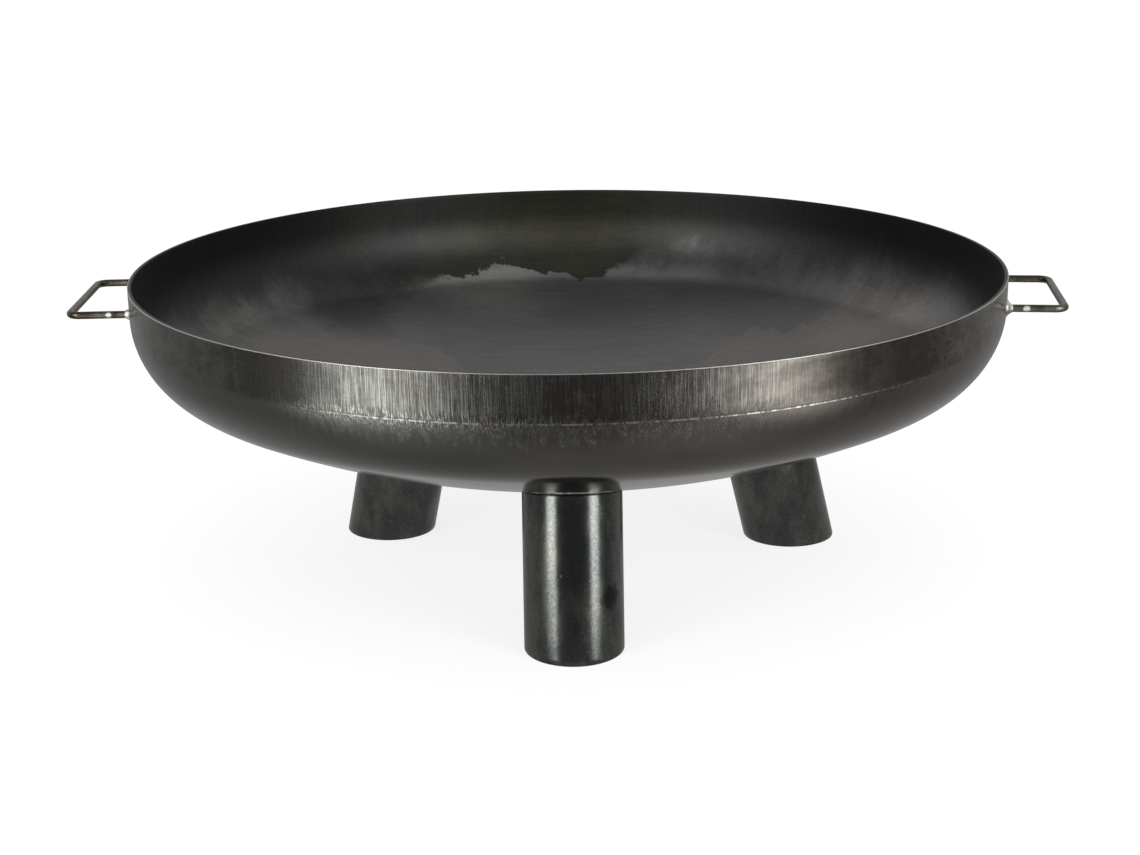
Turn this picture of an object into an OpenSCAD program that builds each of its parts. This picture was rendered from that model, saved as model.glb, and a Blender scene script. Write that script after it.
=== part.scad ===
// Round open hearth: a dished steel bowl on three tube legs, with two bar handles.
// Millimetres, +Z up. The origin is on the floor, under the middle of the bowl.

/* [Bowl] */
// Outside diameter of the bowl
bowl_d = 700; // [600:10:900]
// Thickness of the bowl's plate
bowl_wall = 3; // [2:0.5:6]
// Height of the rim above the floor
rim_h = 257.5; // [230:0.5:400]
// Height of the straight flange under the rim
flange_h = 23.5; // [20:0.5:50]
// Outside radius of the crown, as a share of the bowl's diameter
crown_ratio = 1; // [0.9:0.05:1.2]
// Outside radius of the knuckle, as a share of the bowl's diameter
knuckle_ratio = 0.1; // [0.08:0.01:0.14]

/* [Legs] */
// Outside diameter of the leg tube
leg_d = 76.1; // [48.3:0.1:88.9]
// Wall of the leg tube
leg_wall = 2.9; // [2:0.1:5]
// Direction of the front leg, in degrees from +X
front_leg_az = 270.3; // [260:0.1:280]
// Distance of the front foot from the bowl's axis
front_foot_r = 186.5; // [150:0.5:230]
// Direction of the rear left leg, in degrees from +X
rear_left_leg_az = 150.5; // [140:0.1:165]
// Distance of the rear left foot from the bowl's axis
rear_left_foot_r = 185; // [150:0.5:230]
// Direction of the rear right leg, in degrees from +X
rear_right_leg_az = 17.4; // [10:0.1:40]
// Distance of the rear right foot from the bowl's axis
rear_right_foot_r = 200; // [150:0.5:230]

/* [Handles] */
// Diameter of the handle bar
bar_d = 6; // [5:0.5:12]
// Depth of the bar's centre line below the rim
bar_drop = 22; // [14:0.5:22]
// Radius of the bends, at the bar's centre line
bend_r = 8.5; // [7:0.5:16]
// Direction of the left handle, in degrees from +X
left_handle_az = 181.8; // [175:0.1:185]
// Width of the left handle between the centre lines of its arms
left_handle_w = 118.5; // [90:0.5:150]
// Distance from the bowl to the centre line of the left grip
left_handle_reach = 42; // [30:0.5:70]
// Direction of the right handle, in degrees from +X
right_handle_az = 353.5; // [350:0.1:365]
// Width of the right handle between the centre lines of its arms
right_handle_w = 107.5; // [90:0.5:150]
// Distance from the bowl to the centre line of the right grip
right_handle_reach = 40.5; // [30:0.5:70]

/* [Welds] */
// Radius of the bead's section at the top of each leg
leg_bead_r = 1.6; // [1.2:0.1:4]
// Depth of that section's centre inside the tube's surface
leg_bead_sink = 0.7; // [0:0.1:1]
// Radius of the bead at the end of each handle arm
arm_bead_r = 5; // [4.5:0.1:9]

/* [Hidden] */
$fn = 180;
fine_fn = 360;

bowl_r = bowl_d / 2;
crown_r = bowl_d * crown_ratio;
knuckle_r = bowl_d * knuckle_ratio;
// The knuckle turns about a ring of this radius, at the lower edge of the flange
knuckle_ring_r = bowl_r - knuckle_r;
flange_z = rim_h - flange_h;
// Crown and knuckle share a tangent, so their centres are crown_r - knuckle_r apart
crown_rise = sqrt(pow(crown_r - knuckle_r, 2) - pow(knuckle_ring_r, 2));
crown_z = flange_z + crown_rise;
crown_angle = atan(knuckle_ring_r / crown_rise);

leg_r = leg_d / 2;
bar_r = bar_d / 2;
bar_z = rim_h - bar_drop;
// Material left over where one solid is cut back by another
spare = 2;

bowl_color = "#5a5854";
tube_color = "#3b3f3e";
bar_color = "#4a443c";
weld_color = "#85827c";

// ---- Bowl ----

// Half section of the dished form, moved inwards by inset and open upwards by over
module dish_section(inset, over) {
    slice = 2 * crown_r;
    intersection() {
        translate([0, crown_z - slice]) square([bowl_r - inset, slice]);
        union() {
            translate([0, flange_z]) square([bowl_r - inset, flange_h + over]);
            translate([knuckle_ring_r, flange_z]) circle(r = knuckle_r - inset, $fn = fine_fn);
            intersection() {
                translate([0, crown_z]) circle(r = crown_r - inset, $fn = fine_fn);
                polygon([
                    [0, crown_z],
                    [slice * sin(crown_angle), crown_z - slice * cos(crown_angle)],
                    [0, crown_z - slice]
                ]);
            }
        }
    }
}

module bowl() {
    color(bowl_color)
    rotate_extrude($fn = fine_fn)
    intersection() {
        square([bowl_r + spare, rim_h]);
        difference() {
            dish_section(0, 0);
            dish_section(bowl_wall, spare);
        }
    }
}

// The ball whose lower side is the outside of the crown
module crown_ball() {
    translate([0, 0, crown_z]) sphere(r = crown_r, $fn = fine_fn);
}

// ---- Legs ----

// Distance from the middle of a foot to the centre of the crown
function leg_span(foot_r) = sqrt(pow(foot_r, 2) + pow(crown_z, 2));

// Stands its children on the foot, with +Z pointing at the centre of the crown
module on_leg_axis(az, foot_r) {
    rotate([0, 0, az])
    translate([foot_r, 0, 0])
    rotate([0, -atan(foot_r / crown_z), 0])
    children();
}

// A length of tube square to the crown, coped to it and cut off level with the floor
module leg(az, foot_r) {
    below = leg_r * foot_r / crown_z + spare;
    above = leg_span(foot_r) - crown_r + spare;
    color(tube_color)
    difference() {
        on_leg_axis(az, foot_r)
        translate([0, 0, -below])
        difference() {
            cylinder(r = leg_r, h = below + above);
            translate([0, 0, -spare])
            cylinder(r = leg_r - leg_wall, h = below + above + 2 * spare);
        }
        crown_ball();
        translate([-bowl_d / 2, -bowl_d / 2, -bowl_d]) cube(bowl_d);
    }
}

// The bead in the corner between the tube and the crown. The crown is round about the
// leg's own axis too, and over the bead's width its section is as good as its tangent.
module leg_weld(az, foot_r) {
    slope = asin(leg_r / crown_r);
    corner_z = leg_span(foot_r) - crown_r * cos(slope);
    block = 4 * leg_bead_r;
    color(weld_color)
    on_leg_axis(az, foot_r)
    rotate_extrude()
    difference() {
        translate([leg_r - leg_bead_sink, corner_z]) circle(r = leg_bead_r, $fn = 72);
        translate([0, corner_z - block]) square([leg_r, 2 * block]);
        translate([leg_r, corner_z]) rotate(slope) translate([-block, 0]) square(2 * block);
    }
}

// ---- Handles ----

// Turns its children to a handle's direction, at the height of the bar
module at_handle(az) {
    rotate([0, 0, az]) translate([0, 0, bar_z]) children();
}

// The straight outside of the bowl, where the arms are welded to it
module flange_outside() {
    translate([0, 0, -bowl_r]) cylinder(r = bowl_r, h = bowl_d, $fn = fine_fn);
}

// The whole bent bar: two arms, two bends and the grip, with arm ends inside the bowl
module bent_bar(width, reach) {
    arm_start = floor(sqrt(pow(bowl_r, 2) - pow(width / 2 + bar_r, 2))) - spare;
    bend_x = bowl_r + reach - bend_r;
    bend_y = width / 2 - bend_r;
    for (side = [-1, 1]) {
        translate([arm_start, side * width / 2, 0])
        rotate([0, 90, 0])
        cylinder(r = bar_r, h = bend_x - arm_start, $fn = 72);
        translate([bend_x, side * bend_y, 0])
        rotate([0, 0, side > 0 ? 0 : -90])
        rotate_extrude(angle = 90)
        translate([bend_r, 0])
        circle(r = bar_r, $fn = 72);
    }
    translate([bowl_r + reach, -bend_y, 0])
    rotate([-90, 0, 0])
    cylinder(r = bar_r, h = 2 * bend_y, $fn = 72);
}

module handle(az, width, reach) {
    color(bar_color)
    at_handle(az)
    difference() {
        bent_bar(width, reach);
        flange_outside();
    }
}

// The bead round the end of the arm on side +1 (+Y before turning) or -1
module arm_weld(az, width, side) {
    arm_y = side * width / 2;
    wall_x = sqrt(pow(bowl_r, 2) - pow(arm_y, 2));
    color(weld_color)
    at_handle(az)
    difference() {
        translate([wall_x, arm_y, 0])
        rotate([0, 90, 0])
        rotate_extrude($fn = 72)
        intersection() {
            circle(r = arm_bead_r);
            translate([bar_r, -arm_bead_r]) square([arm_bead_r, 2 * arm_bead_r]);
        }
        flange_outside();
    }
}

// ---- Pieces ----

module front_leg() { leg(front_leg_az, front_foot_r); }
module rear_left_leg() { leg(rear_left_leg_az, rear_left_foot_r); }
module rear_right_leg() { leg(rear_right_leg_az, rear_right_foot_r); }

module left_handle() { handle(left_handle_az, left_handle_w, left_handle_reach); }
module right_handle() { handle(right_handle_az, right_handle_w, right_handle_reach); }

module front_leg_weld() { leg_weld(front_leg_az, front_foot_r); }
module rear_left_leg_weld() { leg_weld(rear_left_leg_az, rear_left_foot_r); }
module rear_right_leg_weld() { leg_weld(rear_right_leg_az, rear_right_foot_r); }

module left_handle_rear_weld() { arm_weld(left_handle_az, left_handle_w, -1); }
module left_handle_front_weld() { arm_weld(left_handle_az, left_handle_w, 1); }
module right_handle_rear_weld() { arm_weld(right_handle_az, right_handle_w, 1); }
module right_handle_front_weld() { arm_weld(right_handle_az, right_handle_w, -1); }

bowl();
front_leg();
rear_left_leg();
rear_right_leg();
left_handle();
right_handle();
front_leg_weld();
rear_left_leg_weld();
rear_right_leg_weld();
left_handle_rear_weld();
left_handle_front_weld();
right_handle_rear_weld();
right_handle_front_weld();
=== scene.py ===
import math

import bpy
from mathutils import Matrix, Vector, noise


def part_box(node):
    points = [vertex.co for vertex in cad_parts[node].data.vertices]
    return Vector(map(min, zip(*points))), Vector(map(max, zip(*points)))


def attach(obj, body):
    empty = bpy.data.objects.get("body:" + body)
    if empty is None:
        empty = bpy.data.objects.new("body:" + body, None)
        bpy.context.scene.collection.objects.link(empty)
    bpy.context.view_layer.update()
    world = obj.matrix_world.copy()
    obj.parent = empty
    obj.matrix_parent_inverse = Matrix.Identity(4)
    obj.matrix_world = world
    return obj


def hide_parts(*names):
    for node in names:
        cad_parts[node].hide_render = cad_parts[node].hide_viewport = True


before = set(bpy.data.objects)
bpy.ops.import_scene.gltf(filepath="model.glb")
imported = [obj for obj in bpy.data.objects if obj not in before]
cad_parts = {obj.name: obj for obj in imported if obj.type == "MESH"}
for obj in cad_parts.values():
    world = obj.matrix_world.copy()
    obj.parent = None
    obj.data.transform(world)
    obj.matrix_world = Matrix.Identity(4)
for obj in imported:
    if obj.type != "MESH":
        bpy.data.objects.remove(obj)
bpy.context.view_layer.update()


# ---- Studio ---------------------------------------------------------------------------
# A pale floor with a white backdrop, a tall softbox at each side of the camera and one
# overhead. Away from them the room is dim, and dimmest behind the camera.

def linear(hex_colour):
    """An sRGB hex colour as linear red, green, blue and full alpha."""
    parts = [int(hex_colour[i:i + 2], 16) / 255 for i in (1, 3, 5)]
    return (*[p / 12.92 if p <= 0.04045 else ((p + 0.055) / 1.055) ** 2.4 for p in parts], 1.0)


def add(tree, kind, inputs=None, **settings):
    """Adds a node. Settings are its own properties; inputs are values, nodes or sockets to link."""
    made = tree.nodes.new("ShaderNode" + kind)
    for name, value in settings.items():
        setattr(made, name, value)
    for socket, value in (inputs or {}).items():
        if isinstance(value, bpy.types.Node):
            value = next(output for output in value.outputs if output.enabled)
        if isinstance(value, bpy.types.NodeSocket):
            tree.links.new(value, made.inputs[socket])
        else:
            made.inputs[socket].default_value = value
    return made


def new_material(name):
    """A material with nothing in it yet, and its node tree."""
    material = bpy.data.materials.new(name)
    material.use_nodes = True
    material.node_tree.nodes.clear()
    return material, material.node_tree


scene = bpy.context.scene
scene.view_settings.view_transform = "Standard"

rim_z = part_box("bowl")[1][2]

# The camera stands in front of the bowl, above its rim, and looks down into it
camera_back = 1.514
camera_above_rim = 0.314
camera_pitch = 16.71
camera_roll = -0.84
lens_mm = 59.84

camera_data = bpy.data.cameras.new("camera")
camera_data.sensor_width = 36
camera_data.lens = lens_mm
camera = bpy.data.objects.new("camera", camera_data)
camera.location = (0, -camera_back, rim_z + camera_above_rim)
tilt = Matrix.Rotation(math.radians(90 - camera_pitch), 3, "X")
roll = Matrix.Rotation(math.radians(camera_roll), 3, "Z")
camera.rotation_euler = (tilt @ roll).to_euler()
scene.collection.objects.link(camera)
scene.camera = camera

floor_half = 20.0
floor_mesh = bpy.data.meshes.new("floor")
floor_mesh.from_pydata(
    [(x * floor_half, y * floor_half, 0) for x, y in ((-1, -1), (1, -1), (1, 1), (-1, 1))],
    [], [(0, 1, 2, 3)])
floor = bpy.data.objects.new("floor", floor_mesh)
scene.collection.objects.link(floor)
paper, tree = new_material("matt_white_paper")
# Paper lit from behind as well as from above, so that its shadows stay pale
front_lit = add(tree, "BsdfDiffuse", {"Color": linear("#808080")})
back_lit = add(tree, "Emission", {"Strength": 0.80})
plain = add(tree, "AddShader", {0: front_lit, 1: back_lit})
# The steel mirrors a dimmer paper, its glow painted for its reflections alone: darkest towards
# the camera, painted lighter near the bowl, with a painted pool of light before each softbox and
# two faint painted pools close to the bowl
place = add(tree, "TexCoord").outputs["Object"]
split = add(tree, "SeparateXYZ", {"Vector": place})
mirrored = add(tree, "MapRange", {"Value": split.outputs["Y"], "From Min": -1.2, "From Max": 0.8,
                                  "To Min": 0.10, "To Max": 0.34}, interpolation_type="SMOOTHSTEP")
from_axis = add(tree, "VectorMath", {0: place}, operation="LENGTH")
near_bowl = add(tree, "MapRange", {"Value": from_axis, "From Min": 0.38, "From Max": 0.60,
                                   "To Min": 0.11, "To Max": 0.0}, interpolation_type="SMOOTHSTEP")
mirrored = add(tree, "Math", {0: mirrored, 1: near_bowl}, operation="ADD")
# Each painted pool of light: x and y of its middle, half its length away from the bowl, half its width,
# radiance
painted_light_pools = (
    (-0.72, -0.87, 0.70, 0.36, 3.3),
    (0.79, -0.815, 0.70, 0.29, 4.1),
    (-0.27, -0.50, 0.24, 0.24, 0.28),
    (0.25, -0.50, 0.24, 0.24, 0.22),
)
for pool_x, pool_y, along, across, level in painted_light_pools:
    pool = add(tree, "Mapping", {"Vector": place, "Location": (pool_x, pool_y, 0),
                                 "Rotation": (0, 0, math.atan2(pool_y, pool_x)),
                                 "Scale": (along, across, 1.0)}, vector_type="TEXTURE")
    from_pool = add(tree, "VectorMath", {0: pool}, operation="LENGTH")
    lit = add(tree, "MapRange", {"Value": from_pool, "From Min": 0.15, "From Max": 1.0,
                                 "To Min": level, "To Max": 0.0}, interpolation_type="SMOOTHSTEP")
    mirrored = add(tree, "Math", {0: mirrored, 1: lit}, operation="ADD")
# The paper's painted glow, which only the steel's reflections see
dim = add(tree, "Emission", {"Strength": mirrored})
glossy = add(tree, "LightPath").outputs["Is Glossy Ray"]
add(tree, "OutputMaterial", {"Surface": add(tree, "MixShader", {0: glossy, 1: plain, 2: dim})})
paper.cycles.emission_sampling = "NONE"
floor_mesh.materials.append(paper)


def softbox(name, azimuth, distance, height, width, tall, radiance, aim_z):
    """A rectangular soft light, at an azimuth from the camera's side, aimed at the axis."""
    data = bpy.data.lights.new(name, "AREA")
    data.shape = "RECTANGLE"
    data.size = width
    data.size_y = tall
    # A flat lamp's radiance is its power over pi times its area
    data.energy = radiance * math.pi * width * tall
    lamp = bpy.data.objects.new(name, data)
    a = math.radians(azimuth)
    lamp.location = (distance * math.sin(a), -distance * math.cos(a), height)
    aim = Vector((0, 0, aim_z)) - lamp.location
    lamp.rotation_euler = aim.to_track_quat("-Z", "Y").to_euler()
    scene.collection.objects.link(lamp)
    return lamp


softbox("softbox_left", azimuth=-45.5, distance=1.8, height=0.75, width=0.62, tall=1.45,
        radiance=6.8, aim_z=0.45)
softbox("softbox_right", azimuth=46, distance=1.8, height=0.75, width=0.60, tall=1.45,
        radiance=7.2, aim_z=0.45)
softbox("softbox_top", azimuth=180, distance=0.25, height=1.7, width=1.1, tall=0.9,
        radiance=0.40, aim_z=0.0)

world = bpy.data.worlds.new("white_room")
scene.world = world
world.use_nodes = True
tree = world.node_tree
tree.nodes.clear()
# Dim towards the camera and overhead, light towards the backdrop, as the steel sees it
split = add(tree, "SeparateXYZ", {"Vector": add(tree, "TexCoord").outputs["Generated"]})
depth = add(tree, "MapRange", {"Value": split.outputs["Y"], "From Min": -0.7, "From Max": 0.9,
                               "To Min": 0.15, "To Max": 0.56}, interpolation_type="SMOOTHSTEP")
high = add(tree, "MapRange", {"Value": split.outputs["Z"], "From Min": 0.72, "From Max": 0.90,
                              "To Min": 1.0, "To Max": 0.22}, interpolation_type="SMOOTHSTEP")
seen = add(tree, "Math", {0: depth, 1: high}, operation="MULTIPLY")
room = add(tree, "Background", {"Color": linear("#fdfdff"), "Strength": seen})
backdrop = add(tree, "Background", {"Color": linear("#ffffff"), "Strength": 1.0})
glossy = add(tree, "LightPath").outputs["Is Glossy Ray"]
add(tree, "OutputWorld", {"Surface": add(tree, "MixShader", {0: glossy, 1: backdrop, 2: room})})


# ---- Bowl -----------------------------------------------------------------------------
# A dished end pressed cold from 3 mm hot-rolled plate: a wide crown, a tight knuckle and a
# short straight flange, whose edge is ground flat. The press has drawn the flange bright.

bowl_r = Vector(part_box("bowl")[1]).x
wall = 0.003
flange_h = 0.0235
crown_r = 2 * bowl_r
knuckle_r = 0.2 * bowl_r
knuckle_ring = bowl_r - knuckle_r
flange_z = rim_z - flange_h
crown_rise = math.sqrt((crown_r - knuckle_r) ** 2 - knuckle_ring ** 2)
crown_z = flange_z + crown_rise
crown_angle = math.atan2(knuckle_ring, crown_rise)
# The edge of the drawing die has left a fine line this far below the rim
draw_line_z = rim_z - 0.034


def dish_arc(inset, crown_steps, knuckle_steps):
    """Half section of one face of the dish, from the middle out to the foot of the flange."""
    points = []
    for i in range(crown_steps):
        a = crown_angle * i / crown_steps
        points.append(((crown_r - inset) * math.sin(a), crown_z - (crown_r - inset) * math.cos(a)))
    for i in range(knuckle_steps + 1):
        a = crown_angle + (math.pi / 2 - crown_angle) * i / knuckle_steps
        points.append((knuckle_ring + (knuckle_r - inset) * math.sin(a),
                       flange_z - (knuckle_r - inset) * math.cos(a)))
    return points


def corner(r, z, radius, start):
    """A rounded edge of the rim: a quarter circle about (r, z), from an angle in degrees on."""
    steps = 4
    angles = [math.radians(start + 90 * i / steps) for i in range(steps + 1)]
    return [(r + radius * math.cos(a), z + radius * math.sin(a)) for a in angles]


inner_edge = 0.0003
outer_edge = 0.0005
flange_steps = 6
inside = dish_arc(wall, crown_steps=44, knuckle_steps=26)
inside += [(bowl_r - wall, flange_z + flange_h * k / flange_steps) for k in range(1, flange_steps)]
rim = corner(bowl_r - wall + inner_edge, rim_z - inner_edge, inner_edge, 90)[::-1]
rim += corner(bowl_r - outer_edge, rim_z - outer_edge, outer_edge, 0)[::-1]
outside = [(bowl_r, flange_z + flange_h * k / flange_steps) for k in range(flange_steps - 1, 0, -1)]
outside += dish_arc(0, crown_steps=44, knuckle_steps=34)[::-1]

# The line is a groove 0.1 mm deep, cut into the section between two of its points
groove_half = 0.0004
groove_depth = 0.0001


def groove(r, z):
    """The outer radius at a height, less the groove if it passes there."""
    depth_here = groove_depth * max(0.0, 1 - abs(z - draw_line_z) / groove_half)
    return r - depth_here


line_points = []
for z in (draw_line_z + groove_half, draw_line_z, draw_line_z - groove_half):
    a = math.acos((flange_z - z) / knuckle_r)
    line_points.append((knuckle_ring + knuckle_r * math.sin(a), z))
outside = [p for p in outside if abs(p[1] - draw_line_z) > 2 * groove_half or p[0] < knuckle_ring]
outside = sorted(outside + line_points, key=lambda p: (-p[1], -p[0]))
outside = [(groove(r, z), z) for r, z in outside]


def mesh_object(name, vertices, faces, slots=None):
    """A smooth-shaded mesh in the scene, with a material slot for each face where slots are given."""
    mesh = bpy.data.meshes.new(name)
    mesh.from_pydata(vertices, [], faces)
    mesh.update()
    mesh.shade_smooth()
    if slots:
        mesh.polygons.foreach_set("material_index", slots)
    made = bpy.data.objects.new(name, mesh)
    scene.collection.objects.link(made)
    return made


def lathe(name, section, slots, segments, wobble):
    """Turns a section about the upright axis. Its two ends lie on the axis. Each stretch of the
    section has a slot: 0 inside, 1 on the rim, 2 outside. wobble moves a point a little, told
    its face: -1 inside, 0 on the rim, 1 outside."""
    vertices = [wobble(Vector((0, 0, section[0][1])), -1)]
    rings = section[1:-1]
    for i, (r, z) in enumerate(rings):
        for k in range(segments):
            a = 2 * math.pi * k / segments
            vertices.append(wobble(Vector((r * math.cos(a), r * math.sin(a), z)), slots[i + 1] - 1))
    vertices.append(wobble(Vector((0, 0, section[-1][1])), 1))
    last = len(vertices) - 1
    faces, face_slots = [], []
    for k in range(segments):
        nxt = (k + 1) % segments
        faces.append((0, 1 + k, 1 + nxt))
        face_slots.append(slots[0])
        for i in range(len(rings) - 1):
            a, b = 1 + i * segments, 1 + (i + 1) * segments
            faces.append((a + k, b + k, b + nxt, a + nxt))
            face_slots.append(slots[i + 1])
        a = 1 + (len(rings) - 1) * segments
        faces.append((a + k, last, a + nxt))
        face_slots.append(slots[-1])
    return mesh_object(name, [tuple(v) for v in vertices], faces, face_slots)


def pressing_wobble(point, face):
    """Plate springs back unevenly from the press: hollows 0.1 mm deep, some 90 mm apart, and
    upright flutes 30 mm apart. Both faces move into the plate, the inner one less."""
    if face == 0:
        return point
    hollow_depth = 0.00014
    flute_depth = 0.00004
    hollows = noise.noise(point * 11) * 0.5 + 0.5
    flutes = noise.noise(Vector((point.x * 34, point.y * 34, point.z * 5))) * 0.5 + 0.5
    depth_here = hollow_depth * hollows + flute_depth * flutes
    middle = Vector((0, 0, point.z if point.z > flange_z else crown_z))
    toward = (middle - point).normalized()
    return point + toward * depth_here * (1 if face > 0 else -0.6)


section = inside + rim + outside
section_slots = [0] * len(inside) + [1] * (len(rim) - 1) + [2] * (len(outside) + 1)
bowl = lathe("hearth_bowl", section, section_slots, segments=384, wobble=pressing_wobble)


def drawn_mill_scale():
    """Mill scale outside the bowl. The die has rubbed the front of the flange in fine upright
    scratches and left brown-black stains, over a smooth satin belly."""
    material, tree = new_material("drawn_mill_scale")
    place = add(tree, "TexCoord").outputs["Object"]
    split = add(tree, "SeparateXYZ", {"Vector": place})
    x, z = split.outputs["X"], split.outputs["Z"]

    # Clouds 170 mm across, speckle of 2 mm, mottle 17 mm wide and 9 mm tall, and strokes of the
    # die 4 mm wide. Scratches are drawn 0.65 mm apart, so that they show: real ones may be finer.
    clouds = add(tree, "TexNoise", {"Vector": place, "Scale": 6.0, "Detail": 3.0, "Roughness": 0.5})
    speckle = add(tree, "TexNoise", {"Vector": place, "Scale": 420.0, "Detail": 2.0})
    upright = add(tree, "Mapping", {"Vector": place, "Scale": (1550, 1550, 28)})
    scratches = add(tree, "TexNoise", {"Vector": upright, "Scale": 1.0, "Detail": 4.0, "Roughness": 0.72})
    tall = add(tree, "Mapping", {"Vector": place, "Scale": (230, 230, 9), "Location": (3, 1, 0)})
    strokes = add(tree, "TexNoise", {"Vector": tall, "Scale": 1.0, "Detail": 3.0})
    flat = add(tree, "Mapping", {"Vector": place, "Scale": (60, 60, 110), "Location": (2, 7, 5)})
    mottle = add(tree, "TexNoise", {"Vector": flat, "Scale": 1.0, "Detail": 6.0, "Roughness": 0.7})

    # The rubbed band fades out in ragged strokes 4 to 22 mm below the line
    end = add(tree, "MapRange", {"Value": strokes, "From Min": 0.35, "From Max": 0.65,
                                 "To Min": draw_line_z - 0.022, "To Max": draw_line_z - 0.004})
    above = add(tree, "Math", {0: z, 1: end}, operation="SUBTRACT")
    band = add(tree, "MapRange", {"Value": above, "From Min": -0.004, "From Max": 0.010},
               interpolation_type="SMOOTHSTEP")
    straight = add(tree, "MapRange", {"Value": z, "From Min": draw_line_z - 0.003,
                                      "From Max": draw_line_z + 0.004}, interpolation_type="SMOOTHSTEP")
    # Rubbed hardest left of the middle, and hardly at all round the sides
    away = add(tree, "VectorMath", {0: place, 1: (-0.03, -0.345, rim_z)}, operation="DISTANCE")
    zone = add(tree, "MapRange", {"Value": away, "From Min": 0.09, "From Max": 0.20,
                                  "To Min": 1.0, "To Max": 0.20}, interpolation_type="SMOOTHSTEP")
    rubbed = add(tree, "Math", {0: band, 1: zone}, operation="MULTIPLY")
    bright = add(tree, "MapRange", {"Value": scratches, "From Min": 0.45, "From Max": 0.65,
                                    "To Max": 0.60}, interpolation_type="SMOOTHSTEP")
    bright = add(tree, "Math", {0: bright, 1: rubbed}, operation="MULTIPLY")

    # Cooler grey on the left, warmer on the right
    side = add(tree, "MapRange", {"Value": x, "From Min": -0.28, "From Max": 0.16},
               interpolation_type="SMOOTHSTEP")
    tone = add(tree, "Mix", {"Factor": side, "A": linear("#656863"), "B": linear("#6c6762")},
               data_type="RGBA")
    shade = add(tree, "MapRange", {"Value": clouds, "From Min": 0.38, "From Max": 0.62,
                                   "To Min": 0.86, "To Max": 1.12})
    tone = add(tree, "VectorMath", {0: tone, 3: shade}, operation="SCALE")
    # The crown has hardly touched the die, and is lighter
    light = add(tree, "MapRange", {"Value": z, "From Min": flange_z - 0.070, "From Max": flange_z - 0.050,
                                   "To Min": 1.8, "To Max": 1.0}, interpolation_type="SMOOTHSTEP")
    tone = add(tree, "VectorMath", {0: tone, 3: light}, operation="SCALE")
    # Dull brown scale between the scratches of the flange
    dull = add(tree, "MapRange", {"Value": mottle, "From Min": 0.40, "From Max": 0.62,
                                  "To Min": 0.62, "To Max": 0.0}, interpolation_type="SMOOTHSTEP")
    dull = add(tree, "Math", {0: dull, 1: straight}, operation="MULTIPLY")
    tone = add(tree, "Mix", {"Factor": dull, "A": tone, "B": linear("#45403a")}, data_type="RGBA")
    tone = add(tree, "Mix", {"Factor": bright, "A": tone, "B": linear("#b9b9b6")}, data_type="RGBA")

    # Three stains where the lubricant burnt on, ragged at their edges
    stain = mottle
    for stain_x, stain_y, down in (
            (-0.200, -0.287, 0.014), (0.008, -0.350, 0.020), (0.240, -0.254, 0.012)):
        centre = (stain_x, stain_y, rim_z - down)
        away = add(tree, "VectorMath", {0: place, 1: centre}, operation="DISTANCE")
        near = add(tree, "MapRange", {"Value": away, "From Min": 0.015, "From Max": 0.065,
                                      "To Min": 0.24, "To Max": 0.0}, interpolation_type="SMOOTHSTEP")
        stain = add(tree, "Math", {0: stain, 1: near}, operation="ADD")
    stain = add(tree, "MapRange", {"Value": stain, "From Min": 0.66, "From Max": 0.76,
                                   "To Max": 0.7}, interpolation_type="SMOOTHSTEP")
    stain = add(tree, "Math", {0: stain, 1: straight}, operation="MULTIPLY")
    tone = add(tree, "Mix", {"Factor": stain, "A": tone, "B": linear("#332d28")}, data_type="RGBA")

    # A thin bright line, uneven along its length, with short ticks where the scratches cross it
    off_line = add(tree, "Math", {0: z, 1: draw_line_z}, operation="SUBTRACT")
    off_line = add(tree, "Math", {0: off_line}, operation="ABSOLUTE")
    line = add(tree, "MapRange", {"Value": off_line, "From Min": 0.0008, "From Max": 0.0003})
    uneven = add(tree, "MapRange", {"Value": strokes, "From Min": 0.42, "From Max": 0.60,
                                    "To Min": 0.04, "To Max": 0.80}, interpolation_type="SMOOTHSTEP")
    line = add(tree, "Math", {0: line, 1: uneven}, operation="MULTIPLY")
    away = add(tree, "VectorMath", {0: place, 1: (0.05, -0.35, draw_line_z)}, operation="DISTANCE")
    facing = add(tree, "MapRange", {"Value": away, "From Min": 0.10, "From Max": 0.28,
                                    "To Min": 0.85, "To Max": 0.0}, interpolation_type="SMOOTHSTEP")
    line = add(tree, "Math", {0: line, 1: facing}, operation="MULTIPLY")
    ticks = add(tree, "MapRange", {"Value": off_line, "From Min": 0.0065, "From Max": 0.0010})
    crossing = add(tree, "MapRange", {"Value": scratches, "From Min": 0.53, "From Max": 0.60})
    ticks = add(tree, "Math", {0: ticks, 1: crossing}, operation="MULTIPLY")
    away = add(tree, "VectorMath", {0: place, 1: (-0.10, -0.335, draw_line_z)}, operation="DISTANCE")
    cluster = add(tree, "MapRange", {"Value": away, "From Min": 0.04, "From Max": 0.13,
                                     "To Min": 0.65, "To Max": 0.0}, interpolation_type="SMOOTHSTEP")
    ticks = add(tree, "Math", {0: ticks, 1: cluster}, operation="MULTIPLY")
    marks = add(tree, "Math", {0: line, 1: ticks}, operation="MAXIMUM")
    tone = add(tree, "Mix", {"Factor": marks, "A": tone, "B": linear("#e2ded6")}, data_type="RGBA")

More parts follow.
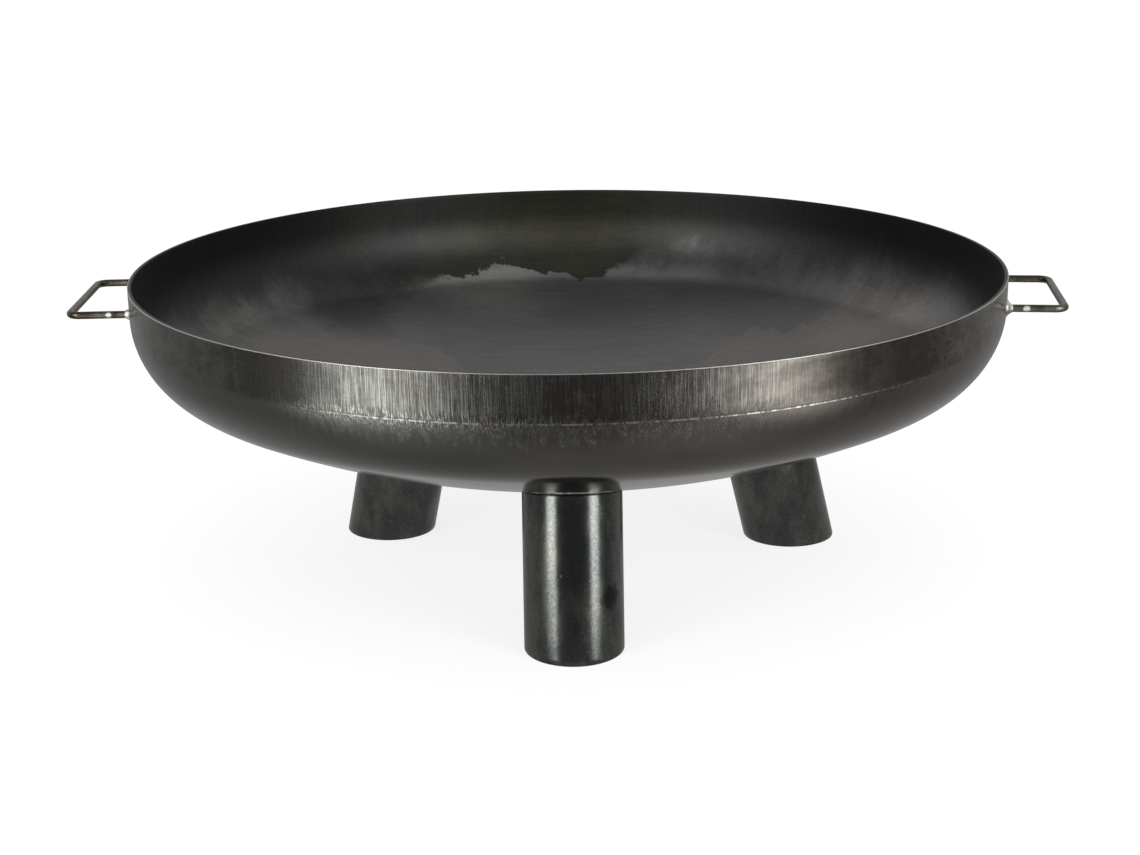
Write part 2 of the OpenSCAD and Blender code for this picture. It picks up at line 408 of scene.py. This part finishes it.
    # The crown is also the smoothest, and the stains are the roughest
    rough = add(tree, "MapRange", {"Value": z, "From Min": flange_z - 0.060, "From Max": flange_z - 0.010,
                                   "To Min": 0.11, "To Max": 0.19}, interpolation_type="SMOOTHSTEP")
    rough = add(tree, "Math", {0: clouds, 1: 0.06, 2: rough}, operation="MULTIPLY_ADD")
    rough = add(tree, "Math", {0: band, 1: 0.03, 2: rough}, operation="MULTIPLY_ADD")
    rough = add(tree, "Math", {0: stain, 1: 0.14, 2: rough}, operation="MULTIPLY_ADD")
    normal = add(tree, "Bump", {"Height": speckle, "Distance": 0.00002})
    deep = add(tree, "Math", {0: scratches, 1: rubbed}, operation="MULTIPLY")
    normal = add(tree, "Bump", {"Height": deep, "Distance": 0.00010, "Normal": normal})
    steel = add(tree, "BsdfPrincipled", {"Base Color": tone, "Metallic": 1.0, "Roughness": rough,
                                         "Normal": normal})
    add(tree, "OutputMaterial", {"Surface": steel})
    return material


def pressed_mill_scale():
    """Mill scale inside the bowl: satin grey over the bottom with brown blooms, and dull, nearly
    black up the wall, where the press lubricant has baked on. A tide mark parts the two, soft
    all round but ragged at the back."""
    material, tree = new_material("pressed_mill_scale")
    place = add(tree, "TexCoord").outputs["Object"]
    split = add(tree, "SeparateXYZ", {"Vector": place})
    x, y, z = (split.outputs[axis] for axis in "XYZ")

    # A coastline with bays of 110 mm, frayed every 13 mm. Clouds 140 mm across. Streaks from the
    # rolling mill 3 mm apart and 125 mm long, and the die's strokes 2.4 mm apart. Speckle of 2 mm.
    round_about = add(tree, "Mapping", {"Vector": place, "Scale": (9, 9, 0), "Location": (2.3, 0, 0)})
    coast = add(tree, "TexNoise", {"Vector": round_about, "Scale": 1.0, "Detail": 5.0, "Roughness": 0.6})
    fray = add(tree, "TexNoise", {"Vector": place, "Scale": 75.0, "Detail": 5.0, "Roughness": 0.7})
    clouds = add(tree, "TexNoise", {"Vector": place, "Scale": 7.0, "Detail": 4.0, "Roughness": 0.55})
    level = add(tree, "Mapping", {"Vector": place, "Scale": (8, 330, 330)})
    rolled = add(tree, "TexNoise", {"Vector": level, "Scale": 1.0, "Detail": 4.0, "Roughness": 0.6})
    upright = add(tree, "Mapping", {"Vector": place, "Scale": (420, 420, 14)})
    strokes = add(tree, "TexNoise", {"Vector": upright, "Scale": 1.0, "Detail": 3.0})
    speckle = add(tree, "TexNoise", {"Vector": place, "Scale": 500.0, "Detail": 2.0})

    # The tide mark wanders some 50 to 80 mm below the rim
    shore = add(tree, "MapRange", {"Value": coast, "From Min": 0.35, "From Max": 0.65,
                                   "To Min": rim_z - 0.086, "To Max": rim_z - 0.062})
    shore = add(tree, "Math", {0: fray, 1: 0.016, 2: shore}, operation="MULTIPLY_ADD")
    above = add(tree, "Math", {0: z, 1: shore}, operation="SUBTRACT")
    away = add(tree, "VectorMath", {0: place, 1: (-0.04, 0.31, rim_z - 0.07)}, operation="DISTANCE")
    lift = add(tree, "MapRange", {"Value": away, "From Min": 0.06, "From Max": 0.17,
                                  "To Min": 0.008, "To Max": -0.004})
    above = add(tree, "Math", {0: above, 1: lift}, operation="ADD")
    # At the back it has a peak on the left, climbs a little to the right and drops away at its
    # left end
    off_peak = add(tree, "Math", {0: x, 1: 0.062}, operation="ADD")
    off_peak = add(tree, "Math", {0: off_peak}, operation="ABSOLUTE")
    peak = add(tree, "MapRange", {"Value": off_peak, "From Min": 0.0, "From Max": 0.035,
                                  "To Min": -0.007, "To Max": 0.0})
    above = add(tree, "Math", {0: above, 1: peak}, operation="ADD")
    climb = add(tree, "MapRange", {"Value": x, "From Min": 0.03, "From Max": 0.09,
                                   "To Min": 0.003, "To Max": -0.003}, interpolation_type="SMOOTHSTEP")
    above = add(tree, "Math", {0: above, 1: climb}, operation="ADD")
    drop = add(tree, "MapRange", {"Value": x, "From Min": -0.08, "From Max": -0.15,
                                  "To Min": 0.0, "To Max": 0.008}, interpolation_type="SMOOTHSTEP")
    above = add(tree, "Math", {0: above, 1: drop}, operation="ADD")
    soft = add(tree, "MapRange", {"Value": away, "From Min": 0.06, "From Max": 0.17,
                                  "To Min": 0.0008, "To Max": 0.024}, interpolation_type="SMOOTHSTEP")
    under = add(tree, "Math", {0: soft, 1: -1.0}, operation="MULTIPLY")
    up = add(tree, "MapRange", {"Value": above, "From Min": under, "From Max": soft},
             interpolation_type="SMOOTHSTEP")

    cloudy = add(tree, "MapRange", {"Value": clouds, "From Min": 0.38, "From Max": 0.62})
    bottom = add(tree, "Mix", {"Factor": cloudy, "A": linear("#797a7a"), "B": linear("#858485")},
                 data_type="RGBA")
    # A brown bloom to each side, with the ragged edge of a dried puddle at the back and fading to
    # nothing at the front. Middle and radius of each.
    fade = add(tree, "MapRange", {"Value": y, "From Min": -0.10, "From Max": 0.15},
               interpolation_type="SMOOTHSTEP")
    for centre, size in (((-0.180, 0.045, 0.130), 0.134), ((0.200, 0.050, 0.140), 0.143)):
        away = add(tree, "VectorMath", {0: place, 1: centre}, operation="DISTANCE")
        away = add(tree, "Math", {0: fray, 1: 0.050, 2: away}, operation="MULTIPLY_ADD")
        away = add(tree, "Math", {0: coast, 1: 0.150, 2: away}, operation="MULTIPLY_ADD")
        bloom = add(tree, "MapRange", {"Value": away, "From Min": size + 0.105, "From Max": size + 0.097,
                                       "To Max": 0.75}, interpolation_type="SMOOTHSTEP")
        bloom = add(tree, "Math", {0: bloom, 1: fade}, operation="MULTIPLY")
        bottom = add(tree, "Mix", {"Factor": bloom, "A": bottom, "B": linear("#8e8983")},
                     data_type="RGBA")
    # Soft patches: a dark one, the light one under the ragged mark, and a painted sheen at each side,
    # where the knuckle reflects the lamps. Middle, inner and outer radius of the fade, colour.
    patches = (
        ((-0.215, 0.232, rim_z - 0.078), 0.020, 0.080, "#5c5d5c"),
        ((-0.090, 0.315, rim_z - 0.078), 0.030, 0.090, "#a3a29e"),
        # This patch and the next are painted sheen, the lamps' reflection in the knuckle
        ((-0.302, 0.125, rim_z - 0.067), 0.010, 0.078, "#96958d"),
        ((0.277, 0.133, rim_z - 0.080), 0.010, 0.095, "#97928c"),
    )
    for centre, inner, outer, shown in patches:
        away = add(tree, "VectorMath", {0: place, 1: centre}, operation="DISTANCE")
        away = add(tree, "Math", {0: coast, 1: 0.12, 2: away}, operation="MULTIPLY_ADD")
        # For the two side patches this mask paints sheen, not rubbing
        rubbed = add(tree, "MapRange", {"Value": away, "From Min": inner + 0.06, "From Max": outer + 0.06,
                                        "To Min": 0.85, "To Max": 0.0}, interpolation_type="SMOOTHSTEP")
        bottom = add(tree, "Mix", {"Factor": rubbed, "A": bottom, "B": linear(shown)}, data_type="RGBA")
    # The baked film is thinner and greener high on the back, and the wall is darker towards the rim
    away = add(tree, "VectorMath", {0: place, 1: (-0.04, 0.345, rim_z - 0.03)}, operation="DISTANCE")
    thin = add(tree, "MapRange", {"Value": away, "From Min": 0.06, "From Max": 0.24,
                                  "To Min": 1.0, "To Max": 0.0}, interpolation_type="SMOOTHSTEP")
    thin = add(tree, "Math", {0: thin, 1: cloudy}, operation="MULTIPLY")
    wall_tone = add(tree, "Mix", {"Factor": thin, "A": linear("#424342"), "B": linear("#545349")},
                    data_type="RGBA")
    darker_to_rim = add(tree, "MapRange", {"Value": z, "From Min": rim_z - 0.055, "From Max": rim_z - 0.005,
                                   "To Min": 1.0, "To Max": 0.58}, interpolation_type="SMOOTHSTEP")
    wall_tone = add(tree, "VectorMath", {0: wall_tone, 3: darker_to_rim}, operation="SCALE")
    tone = add(tree, "Mix", {"Factor": up, "A": bottom, "B": wall_tone}, data_type="RGBA")
    streak = add(tree, "MapRange", {"Value": rolled, "From Min": 0.35, "From Max": 0.65,
                                    "To Min": 0.92, "To Max": 1.08})
    grain = add(tree, "MapRange", {"Value": strokes, "From Min": 0.35, "From Max": 0.65,
                                   "To Min": 0.95, "To Max": 1.05})
    both = add(tree, "Math", {0: streak, 1: grain}, operation="MULTIPLY")
    tone = add(tree, "VectorMath", {0: tone, 3: both}, operation="SCALE")

    rough = add(tree, "MapRange", {"Value": up, "To Min": 0.30, "To Max": 0.46})
    rough = add(tree, "Math", {0: rolled, 1: 0.06, 2: rough}, operation="MULTIPLY_ADD")
    normal = add(tree, "Bump", {"Height": speckle, "Distance": 0.00002})
    normal = add(tree, "Bump", {"Height": rolled, "Distance": 0.000015, "Normal": normal})
    steel = add(tree, "BsdfPrincipled", {"Base Color": tone, "Metallic": 1.0, "Roughness": rough,
                                         "Normal": normal})
    add(tree, "OutputMaterial", {"Surface": steel})
    return material


def ground_edge():
    """The sheared edge, dressed by hand: dull on top, with its outer corner rubbed to bright steel."""
    material, tree = new_material("ground_steel_edge")
    place = add(tree, "TexCoord").outputs["Object"]
    # Grinding marks, drawn 1 mm apart so that they show, and stains of 33 mm
    grit = add(tree, "TexNoise", {"Vector": place, "Scale": 900.0, "Detail": 3.0, "Roughness": 0.6})
    stain = add(tree, "TexNoise", {"Vector": place, "Scale": 30.0, "Detail": 4.0, "Roughness": 0.6})
    worn = add(tree, "MapRange", {"Value": stain, "From Min": 0.35, "From Max": 0.65})
    tone = add(tree, "Mix", {"Factor": worn, "A": linear("#262422"), "B": linear("#33312e")},
               data_type="RGBA")
    level = add(tree, "VectorMath", {0: place, 1: (1, 1, 0)}, operation="MULTIPLY")
    radius = add(tree, "VectorMath", {0: level}, operation="LENGTH")
    arris = add(tree, "MapRange", {"Value": radius, "From Min": bowl_r - 0.0010,
                                   "From Max": bowl_r - 0.0004})
    tone = add(tree, "Mix", {"Factor": arris, "A": tone, "B": linear("#c8c4bc")}, data_type="RGBA")
    rough = add(tree, "MapRange", {"Value": grit, "From Min": 0.3, "From Max": 0.7,
                                   "To Min": 0.36, "To Max": 0.52})
    normal = add(tree, "Bump", {"Height": grit, "Distance": 0.00003})
    steel = add(tree, "BsdfPrincipled", {"Base Color": tone, "Metallic": 1.0, "Roughness": rough,
                                         "Normal": normal})
    add(tree, "OutputMaterial", {"Surface": steel})
    return material


bowl.data.materials.append(pressed_mill_scale())
bowl.data.materials.append(ground_edge())
bowl.data.materials.append(drawn_mill_scale())
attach(bowl, "root")
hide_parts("bowl")


# ---- Legs -----------------------------------------------------------------------------
# Three offcuts of 76.1 x 2.9 mm tube, coped to the crown and standing square to it, with
# their feet sawn level. The tube keeps its smooth, oiled mill scale.

leg_r = 0.07610 / 2
leg_wall = 0.0029
# Azimuth of each leg, and how far the middle of its foot is from the axis
leg_places = {
    "front_leg": (270.3, 0.1865),
    "rear_left_leg": (150.5, 0.185),
    "rear_right_leg": (17.4, 0.200),
}


def leg_matrix(azimuth, foot_r):
    """Stands a leg on its foot, with +Z pointing at the centre of the crown."""
    lean = math.atan2(foot_r, crown_z)
    return (Matrix.Rotation(math.radians(azimuth), 4, "Z") @ Matrix.Translation((foot_r, 0, 0))
            @ Matrix.Rotation(-lean, 4, "Y"))


def tube_leg(name, azimuth, foot_r):
    """A tube whose top meets the crown all round and whose foot is cut off at the floor."""
    segments = 160
    outer_rows = 30
    inner_rows = 4
    chamfer = 0.0004
    # Clear of the floor by a hair, so that rounding never takes the foot through it
    foot_gap = 0.000002
    matrix = leg_matrix(azimuth, foot_r)
    span = math.hypot(foot_r, crown_z)
    slope = foot_r / crown_z
    vertices, faces = [], []

    def loop(radius, share, lift=0.0):
        """A ring some share of the way up from the floor to the crown, lifted by a length."""
        for k in range(segments):
            a = 2 * math.pi * k / segments
            x, y = radius * math.cos(a), radius * math.sin(a)
            bottom = -x * slope
            top = span - math.sqrt(crown_r ** 2 - radius ** 2)
            z = bottom + (top - bottom) * share + lift
            vertices.append(tuple(matrix @ Vector((x, y, z))))

    inner_r = leg_r - leg_wall
    for i in range(inner_rows, 0, -1):
        loop(inner_r, i / inner_rows)
    loop(inner_r, 0, chamfer)
    loop(inner_r + chamfer, 0, foot_gap)
    loop(leg_r - chamfer, 0, foot_gap)
    loop(leg_r - 0.3 * chamfer, 0, 0.3 * chamfer)
    loop(leg_r, 0, chamfer)
    for i in range(1, outer_rows + 1):
        loop(leg_r, i / outer_rows)
    rings = len(vertices) // segments
    for i in range(rings):
        a, b = i * segments, ((i + 1) % rings) * segments
        for k in range(segments):
            nxt = (k + 1) % segments
            faces.append((a + k, a + nxt, b + nxt, b + k))
    return mesh_object(name + "_tube", vertices, faces)


def oiled_tube_scale():
    """Rolled tube with its blue-black scale still on and a film of oil: glossy and nearly black,
    with cloudy greys, a few light scuffs and one burnt spot."""
    material, tree = new_material("oiled_tube_scale")
    place = add(tree, "TexCoord").outputs["Object"]
    # Clouds 24 mm wide and 55 mm tall, scuffs of 5 mm, grain of 1.6 mm and pits of 1.2 mm
    upright = add(tree, "Mapping", {"Vector": place, "Scale": (42, 42, 18)})
    clouds = add(tree, "TexNoise", {"Vector": upright, "Scale": 1.0, "Detail": 5.0, "Roughness": 0.65})
    scuffs = add(tree, "TexNoise", {"Vector": place, "Scale": 190.0, "Detail": 4.0, "Roughness": 0.65})
    grain = add(tree, "TexNoise", {"Vector": place, "Scale": 620.0, "Detail": 2.0, "Roughness": 0.6})
    pits = add(tree, "TexNoise", {"Vector": place, "Scale": 800.0, "Detail": 2.0})
    cloudy = add(tree, "MapRange", {"Value": clouds, "From Min": 0.38, "From Max": 0.64},
                 interpolation_type="SMOOTHSTEP")
    tone = add(tree, "Mix", {"Factor": cloudy, "A": linear("#515452"), "B": linear("#696a64")},
               data_type="RGBA")
    grainy = add(tree, "MapRange", {"Value": grain, "From Min": 0.32, "From Max": 0.68,
                                    "To Min": 0.78, "To Max": 1.22})
    tone = add(tree, "VectorMath", {0: tone, 3: grainy}, operation="SCALE")
    # A burnt spot low on the front leg, where a clamp or a weld stop has marked it
    away = add(tree, "VectorMath", {0: place, 1: (0.028, -0.202, 0.046)}, operation="DISTANCE")
    away = add(tree, "Math", {0: scuffs, 1: -0.022, 2: away}, operation="MULTIPLY_ADD")
    burnt = add(tree, "MapRange", {"Value": away, "From Min": 0.001, "From Max": -0.006, "To Max": 0.75},
                interpolation_type="SMOOTHSTEP")
    tone = add(tree, "Mix", {"Factor": burnt, "A": tone, "B": linear("#2a2926")}, data_type="RGBA")
    scuffed = add(tree, "MapRange", {"Value": scuffs, "From Min": 0.66, "From Max": 0.74,
                                     "To Max": 0.4}, interpolation_type="SMOOTHSTEP")
    tone = add(tree, "Mix", {"Factor": scuffed, "A": tone, "B": linear("#9b9a95")}, data_type="RGBA")
    rough = add(tree, "MapRange", {"Value": clouds, "From Min": 0.35, "From Max": 0.65,
                                   "To Min": 0.18, "To Max": 0.27})
    rough = add(tree, "Math", {0: scuffed, 1: 0.4, 2: rough}, operation="MULTIPLY_ADD")
    normal = add(tree, "Bump", {"Height": pits, "Distance": 0.00002})
    steel = add(tree, "BsdfPrincipled", {"Base Color": tone, "Metallic": 1.0, "Roughness": rough,
                                         "Normal": normal})
    add(tree, "OutputMaterial", {"Surface": steel})
    return material


tube_finish = oiled_tube_scale()
for node_name, (azimuth, foot_r) in leg_places.items():
    leg = tube_leg(node_name, azimuth, foot_r)
    leg.data.materials.append(tube_finish)
    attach(leg, "root")
    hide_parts(node_name)


# ---- Welds round the legs -------------------------------------------------------------
# A small bead run round each tube where it meets the crown, wire-brushed bright. It reads
# as a thin light ring at the top of the leg.

bead_r = 0.0015
bead_sink = 0.0007


def ring_bead(name, azimuth, foot_r):
    """A rippled ring in the corner between tube and crown."""
    segments = 240
    sides = 10
    ripple_pitch = 0.003
    ripple_height = 0.06
    lump_height = 0.10
    below_corner = 0.0002
    matrix = leg_matrix(azimuth, foot_r)
    span = math.hypot(foot_r, crown_z)
    corner_z = span - math.sqrt(crown_r ** 2 - leg_r ** 2)
    ripples = round(2 * math.pi * leg_r / ripple_pitch)
    vertices, faces = [], []
    for k in range(segments):
        a = 2 * math.pi * k / segments
        lump = noise.noise(Vector((5 * math.cos(a), 5 * math.sin(a), foot_r)))
        swell = 1 + ripple_height * math.cos(ripples * a) + lump_height * lump
        for j in range(sides):
            b = 2 * math.pi * j / sides
            r = leg_r - bead_sink + bead_r * swell * math.cos(b)
            z = corner_z + bead_r * swell * math.sin(b) - below_corner
            vertices.append(tuple(matrix @ Vector((r * math.cos(a), r * math.sin(a), z))))
    for k in range(segments):
        for j in range(sides):
            a, b = k * sides, ((k + 1) % segments) * sides
            nxt = (j + 1) % sides
            faces.append((a + j, b + j, b + nxt, a + nxt))
    return mesh_object(name + "_bead", vertices, faces)


def brushed_weld():
    """Weld metal after a wire brush: bright steel, with duller slag left in patches."""
    material, tree = new_material("wire_brushed_weld")
    place = add(tree, "TexCoord").outputs["Object"]
    # Slag in patches of 6 mm, and the wire's marks, drawn 0.8 mm apart so that they show
    slag = add(tree, "TexNoise", {"Vector": place, "Scale": 160.0, "Detail": 3.0, "Roughness": 0.6})
    grit = add(tree, "TexNoise", {"Vector": place, "Scale": 1200.0, "Detail": 2.0})
    cleaned = add(tree, "MapRange", {"Value": slag, "From Min": 0.42, "From Max": 0.60},
                  interpolation_type="SMOOTHSTEP")
    tone = add(tree, "Mix", {"Factor": cleaned, "A": linear("#a5a29c"), "B": linear("#f0eee9")},
               data_type="RGBA")
    rough = add(tree, "MapRange", {"Value": grit, "From Min": 0.3, "From Max": 0.7,
                                   "To Min": 0.38, "To Max": 0.58})
    normal = add(tree, "Bump", {"Height": grit, "Distance": 0.00003})
    steel = add(tree, "BsdfPrincipled", {"Base Color": tone, "Metallic": 1.0, "Roughness": rough,
                                         "Normal": normal})
    add(tree, "OutputMaterial", {"Surface": steel})
    return material


weld_finish = brushed_weld()
for node_name, (azimuth, foot_r) in leg_places.items():
    bead = ring_bead(node_name, azimuth, foot_r)
    bead.data.materials.append(weld_finish)
    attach(bead, "root")
    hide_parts(node_name + "_weld")


# ---- Handles --------------------------------------------------------------------------
# Two lengths of 6 mm round bar, each bent twice over a former and butted to the flange.
# The bar is brown-black from the rolling mill, and rubbed lighter in patches.

bar_r = 0.003
bar_z = rim_z - 0.022
bend_r = 0.0085
# Azimuth of each handle, width between its arms, reach, and which side of it is the front
handles = {
    "left_handle": {"azimuth": 181.8, "width": 0.1185, "reach": 0.042, "front": 1},
    "right_handle": {"azimuth": 353.5, "width": 0.1075, "reach": 0.0405, "front": -1},
}


def handle_path(width, reach):
    """The bar's centre line, from one arm's root through both bends to the other's."""
    arm_y = width / 2
    root_x = math.sqrt(bowl_r ** 2 - arm_y ** 2) - 0.5 * wall
    bend_x = bowl_r + reach - bend_r
    bend_y = arm_y - bend_r
    arm_steps = 24
    bend_steps = 16
    grip_steps = 20
    arm = []
    for i in range(arm_steps):
        arm.append(Vector((root_x + (bend_x - root_x) * i / arm_steps, arm_y, 0)))
    for i in range(bend_steps + 1):
        a = math.pi / 2 * (1 - i / bend_steps)
        arm.append(Vector((bend_x + bend_r * math.cos(a), bend_y + bend_r * math.sin(a), 0)))
    grip = [Vector((bowl_r + reach, bend_y * (1 - 2 * i / grip_steps), 0)) for i in range(1, grip_steps)]
    other_arm = [Vector((p.x, -p.y, p.z)) for p in reversed(arm)]
    return arm + grip + other_arm


def bent_bar(name, azimuth, width, reach):
    """The bar swept along its centre line, up to 3 % out of round in patches of 11 mm."""
    sides = 32
    path = handle_path(width, reach)
    turn = Matrix.Translation((0, 0, bar_z)) @ Matrix.Rotation(math.radians(azimuth), 4, "Z")
    vertices, faces = [], []
    for i, p in enumerate(path):
        ahead = (path[min(i + 1, len(path) - 1)] - path[max(i - 1, 0)]).normalized()
        side = Vector((ahead.y, -ahead.x, 0))
        for j in range(sides):
            b = 2 * math.pi * j / sides
            lump = noise.noise((p + Vector((0, 0, 0.01 * math.sin(b)))) * 90)
            r = bar_r * (0.985 + 0.015 * lump)
            vertices.append(tuple(turn @ (p + side * r * math.cos(b) + Vector((0, 0, r * math.sin(b))))))
    for i in range(len(path) - 1):
        a, b = i * sides, (i + 1) * sides
        for j in range(sides):
            nxt = (j + 1) % sides
            faces.append((a + j, b + j, b + nxt, a + nxt))
    faces.append(tuple(range(sides)))
    last = (len(path) - 1) * sides
    faces.append(tuple(last + j for j in reversed(range(sides))))
    return mesh_object(name + "_bar", vertices, faces)


def rolled_bar_scale(nick):
    """Rolled bar with brown-black scale, rubbed to grey here and there, and one nick where it was
    gripped close to the weld: bare steel, with its glint painted on in near white."""
    material, tree = new_material("rolled_bar_scale")
    place = add(tree, "TexCoord").outputs["Object"]
    # Clouds of 14 mm along the bar, and rubbing of 4 mm
    clouds = add(tree, "TexNoise", {"Vector": place, "Scale": 70.0, "Detail": 4.0, "Roughness": 0.6})
    rub = add(tree, "TexNoise", {"Vector": place, "Scale": 240.0, "Detail": 4.0, "Roughness": 0.6})
    cloudy = add(tree, "MapRange", {"Value": clouds, "From Min": 0.38, "From Max": 0.62},
                 interpolation_type="SMOOTHSTEP")
    tone = add(tree, "Mix", {"Factor": cloudy, "A": linear("#5a4f45"), "B": linear("#77736a")},
               data_type="RGBA")
    rubbed = add(tree, "MapRange", {"Value": rub, "From Min": 0.56, "From Max": 0.70, "To Max": 0.6},
                 interpolation_type="SMOOTHSTEP")
    tone = add(tree, "Mix", {"Factor": rubbed, "A": tone, "B": linear("#a19c92")}, data_type="RGBA")
    # The nick: bare steel, with its glint painted on in near white
    away = add(tree, "VectorMath", {0: place, 1: tuple(nick)}, operation="DISTANCE")
    away = add(tree, "Math", {0: rub, 1: 0.004, 2: away}, operation="MULTIPLY_ADD")
    nick_and_glint = add(tree, "MapRange", {"Value": away, "From Min": 0.0050, "From Max": 0.0038})
    tone = add(tree, "Mix", {"Factor": nick_and_glint, "A": tone, "B": linear("#f4f2ec")}, data_type="RGBA")
    rough = add(tree, "MapRange", {"Value": clouds, "From Min": 0.3, "From Max": 0.7,
                                   "To Min": 0.30, "To Max": 0.42})
    rough = add(tree, "Math", {0: nick_and_glint, 1: 0.2, 2: rough}, operation="MULTIPLY_ADD")
    normal = add(tree, "Bump", {"Height": rub, "Distance": 0.00004})
    steel = add(tree, "BsdfPrincipled", {"Base Color": tone, "Metallic": 1.0, "Roughness": rough,
                                         "Normal": normal})
    add(tree, "OutputMaterial", {"Surface": steel})
    return material


nick_out = 0.0105
nick_up = 0.0004
for node_name, handle in handles.items():
    bar = bent_bar(node_name, handle["azimuth"], handle["width"], handle["reach"])
    turn = Matrix.Rotation(math.radians(handle["azimuth"]), 4, "Z")
    nick_y = handle["front"] * (handle["width"] / 2 + bar_r)
    nick = turn @ Vector((bowl_r + nick_out, nick_y, bar_z + nick_up))
    bar.data.materials.append(rolled_bar_scale(nick))
    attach(bar, "root")
    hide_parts(node_name)


# ---- Welds at the handles -------------------------------------------------------------
# A lump of weld metal round the end of each arm, washed up and down the flange a little
# further than it runs along the bar.

# How wide each bead spreads on the flange, and how far it runs along the bar
weld_sizes = {
    "left_handle_front_weld": (0.0048, 0.0030),
    "left_handle_rear_weld": (0.0042, 0.0026),
    "right_handle_front_weld": (0.0068, 0.0044),
    "right_handle_rear_weld": (0.0044, 0.0028),
}


def arm_bead(name, azimuth, width, side, spread, along):
    """A flared, lumpy collar round the arm's root: spread up the wall, along out on the bar."""
    arm_y = side * width / 2
    wall_x = math.sqrt(bowl_r ** 2 - arm_y ** 2)
    turn = Matrix.Translation((0, 0, bar_z)) @ Matrix.Rotation(math.radians(azimuth), 4, "Z")
    segments, rows = 48, 12
    collar_r = 0.99 * bar_r
    bulge = 0.0004
    sink = 0.0004
    lump_height = 0.22
    vertices, faces = [], []
    for i in range(rows + 1):
        t = i / rows
        for k in range(segments):
            a = 2 * math.pi * k / segments
            place = Vector((3 * math.cos(a), 3 * math.sin(a), 4 * t + 9 * side + azimuth))
            lump = 1 + lump_height * noise.noise(place)
            flare = (1 - t) ** 1.8
            r = collar_r + (spread - collar_r) * flare * lump + bulge * math.sin(math.pi * t)
            y, z = r * math.cos(a), r * math.sin(a)
            foot_x = math.sqrt(bowl_r ** 2 - (arm_y + y) ** 2) - sink
            x = foot_x + (wall_x - foot_x) * t + along * t
            vertices.append(tuple(turn @ Vector((x, arm_y + y, z))))
    for i in range(rows):
        a, b = i * segments, (i + 1) * segments
        for k in range(segments):
            nxt = (k + 1) % segments
            faces.append((a + k, a + nxt, b + nxt, b + k))
    faces.append(tuple(reversed(range(segments))))
    faces.append(tuple(rows * segments + k for k in range(segments)))
    return mesh_object(name + "_bead", vertices, faces)


for node_name, (spread, along) in weld_sizes.items():
    handle = handles[node_name[:node_name.index("_handle")] + "_handle"]
    side = handle["front"] if "front" in node_name else -handle["front"]
    bead = arm_bead(node_name, handle["azimuth"], handle["width"], side, spread, along)
    bead.data.materials.append(weld_finish)
    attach(bead, "root")
    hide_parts(node_name)
